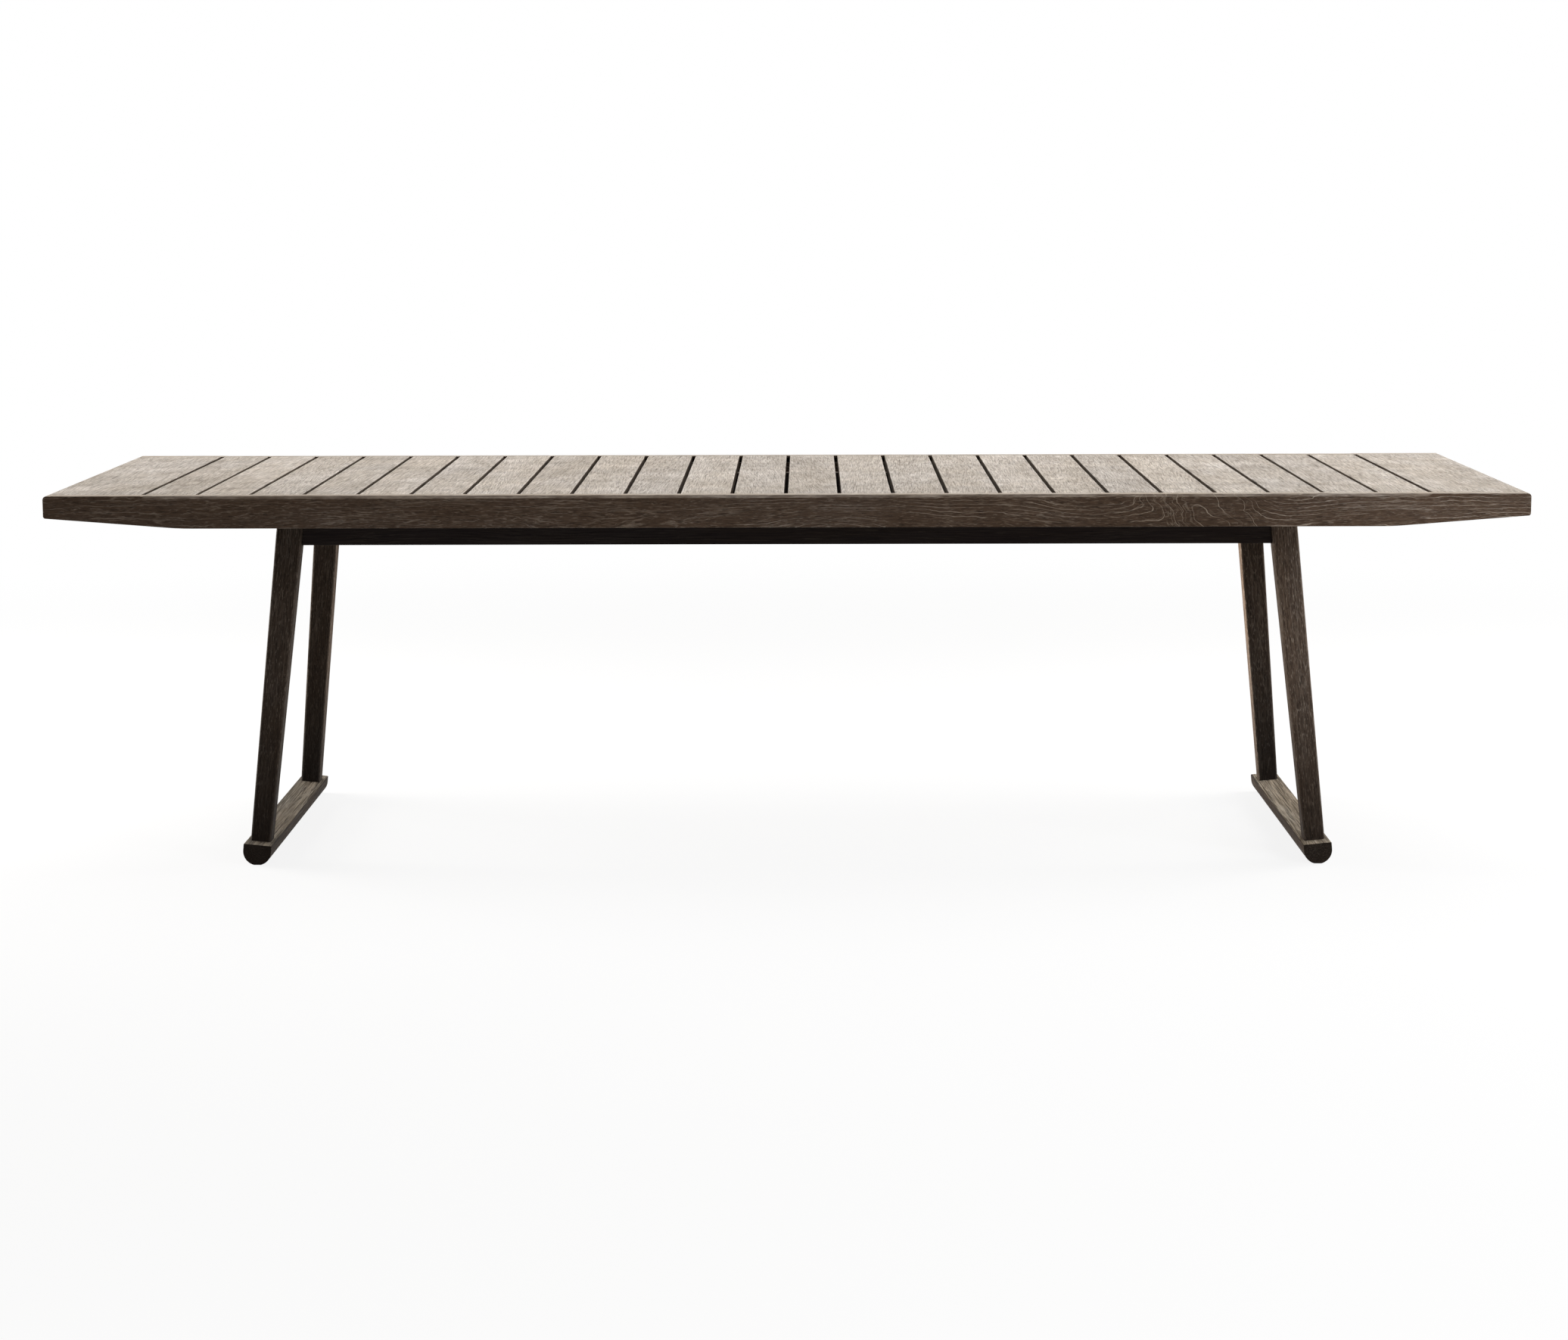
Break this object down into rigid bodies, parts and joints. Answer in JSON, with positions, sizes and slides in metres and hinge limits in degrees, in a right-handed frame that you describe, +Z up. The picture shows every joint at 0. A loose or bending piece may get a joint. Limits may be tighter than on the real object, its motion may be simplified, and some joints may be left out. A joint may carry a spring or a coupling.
{
  "type": "refectory table",
  "caption": "Long slatted wooden refectory table with wide end boards and tapered edge rails, carried on leaning leg frames that stand on half-round floor runners.",
  "frame": {"origin": "on the floor under the middle of the table top", "axes": "+X along the table's length, +Y to the back long side, +Z up; the picture looks from -Y"},
  "size_m": [2.984, 1, 0.772],
  "materials": {
    "deck_teak": "weathered bare teak, pale grey brown, matt, with fine raised grain",
    "rail_teak": "weathered bare teak, dark brown, matt, with fine pale grain lines",
    "leg_teak": "weathered bare teak, dark brown with pale streaks along the grain, matt",
    "beam_teak": "bare teak, very dark brown, matt",
    "stainless": "plain stainless steel"
  },
  "bodies": {
    "root": {"slat_01": "deck_teak", "slat_02": "deck_teak", "slat_03": "deck_teak", "slat_04": "deck_teak", "slat_05": "deck_teak", "slat_06": "deck_teak", "slat_07": "deck_teak", "slat_08": "deck_teak", "slat_09": "deck_teak", "slat_10": "deck_teak", "slat_11": "deck_teak", "slat_12": "deck_teak", "slat_13": "deck_teak", "slat_14": "deck_teak", "slat_15": "deck_teak", "slat_16": "deck_teak", "slat_17": "deck_teak", "slat_18": "deck_teak", "slat_19": "deck_teak", "slat_20": "deck_teak", "slat_21": "deck_teak", "slat_22": "deck_teak", "slat_23": "deck_teak", "slat_24": "deck_teak", "end_board_left": "deck_teak", "end_board_right": "deck_teak", "edge_rail_front": "rail_teak", "edge_rail_back": "rail_teak", "leg_front_left": "leg_teak", "leg_back_left": "leg_teak", "leg_front_right": "leg_teak", "leg_back_right": "leg_teak", "runner_left": "leg_teak", "runner_right": "leg_teak", "beam_front": "beam_teak", "beam_back": "beam_teak", "cross_rail_left": "beam_teak", "cross_rail_right": "beam_teak", "end_bearer_front_left": "beam_teak", "end_bearer_back_left": "beam_teak", "end_bearer_front_right": "beam_teak", "end_bearer_back_right": "beam_teak", "beam_screws": "stainless", "bearer_screws": "stainless", "beam_bolts": "stainless", "bolt_washers": "stainless", "barrel_nuts": "stainless"}
  },
  "joints": []
}
